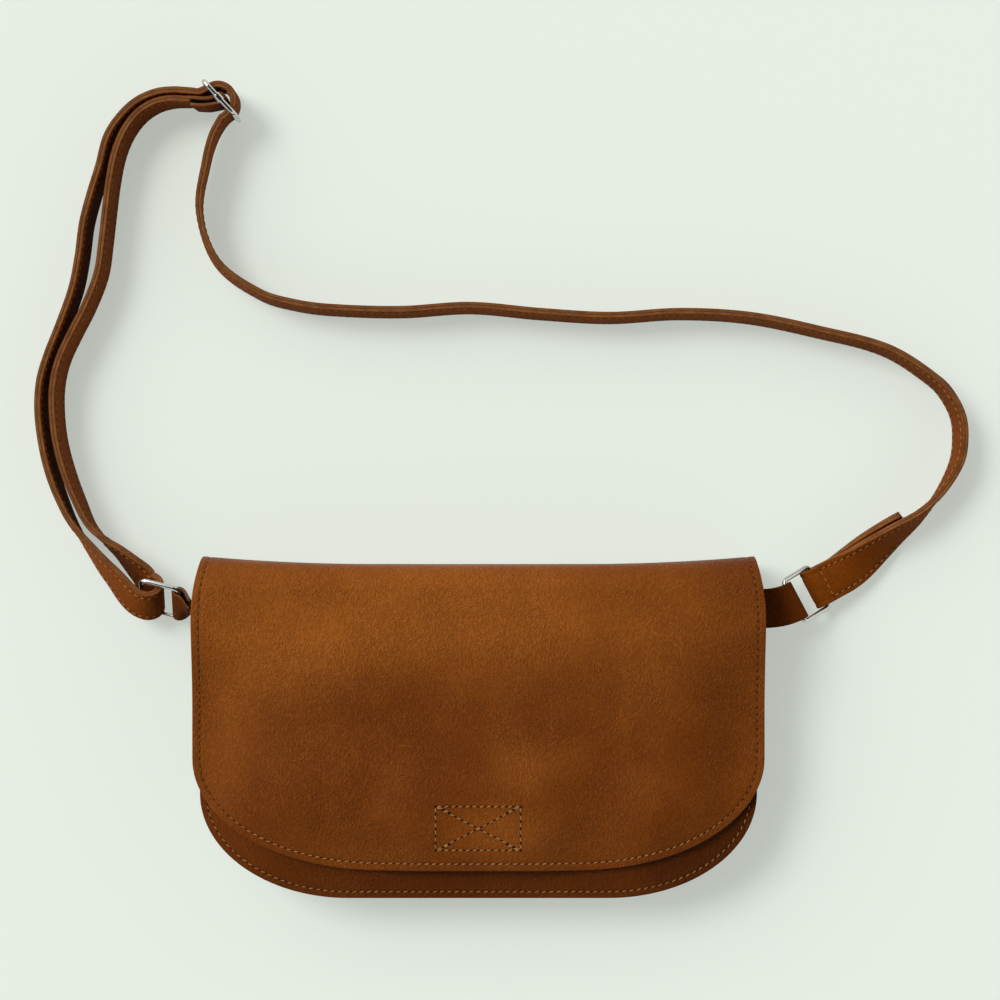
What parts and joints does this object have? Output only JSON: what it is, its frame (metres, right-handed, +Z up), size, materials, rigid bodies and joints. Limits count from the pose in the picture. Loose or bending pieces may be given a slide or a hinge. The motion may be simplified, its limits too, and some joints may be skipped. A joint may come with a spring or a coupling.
{
  "type": "leather crossbody bag",
  "caption": "Small leather crossbody bag lying flat, with a long rounded flap over its front and an adjustable strap on wire rings, laid out in a loop.",
  "frame": {"origin": "Centre of the back panel's outer face, which lies on the ground.", "axes": "+X across the bag, +Y from its bottom to its top fold, +Z up from the ground through the bag to its flap."},
  "size_m": [0.4786, 0.4164, 0.0503],
  "materials": {
    "flap_leather": "chestnut leather, pull-up, fine pebbled grain, tan thread along its edges",
    "panel_leather": "darker chestnut leather, fine pebbled grain",
    "gusset_leather": "dark chestnut leather with raw tan edges",
    "lining_leather": "matt split leather",
    "pocket_leather": "matt split leather",
    "strap_leather": "dark chestnut leather with raw golden-brown edges, tan thread along both edges",
    "plated_wire": "polished nickel plate",
    "loop_pile": "dark brown loop pile",
    "hook_tape": "dark brown woven hook tape"
  },
  "bodies": {
    "bag": {"back_panel": "panel_leather", "front_panel": "panel_leather", "gusset": "gusset_leather", "inner_pocket": "pocket_leather", "loop_tape": "loop_pile", "tab_left": "strap_leather", "tab_right": "strap_leather", "strap_outer_layer": "strap_leather", "strap_inner_layer": "strap_leather"},
    "band": {"top_band": "flap_leather"},
    "flap": {"flap": "flap_leather", "flap_lining": "lining_leather", "hook_tape": "hook_tape"},
    "ring_left": {"ring_left": "plated_wire"},
    "ring_right": {"ring_right": "plated_wire"},
    "slider": {"slider": "plated_wire"}
  },
  "joints": [
    {"name": "band_fold", "type": "hinge", "parent": "bag", "child": "band", "pos_m": [0, 0.0819, 0.0009], "axis": [-1, 0, 0], "range_deg": [0, 70]},
    {"name": "flap_lift", "type": "hinge", "parent": "band", "child": "flap", "pos_m": [0, 0.07, 0.0472], "axis": [-1, 0, 0], "range_deg": [0, 90]},
    {"name": "ring_left_swing", "type": "hinge", "parent": "bag", "child": "ring_left", "pos_m": [-0.1537, 0.0628, 0.018], "axis": [0.0647, 0.6491, 0.758], "range_deg": [-6, 2]},
    {"name": "ring_right_swing", "type": "hinge", "parent": "bag", "child": "ring_right", "pos_m": [0.1615, 0.0638, 0.018], "axis": [-0.4664, 0.8846, 0], "range_deg": [-2.5, 2.5]},
    {"name": "slider_tilt", "type": "hinge", "parent": "bag", "child": "slider", "pos_m": [-0.13233, 0.32107, 0.0143], "axis": [0, 0, 1], "range_deg": [-2, 1]}
  ]
}
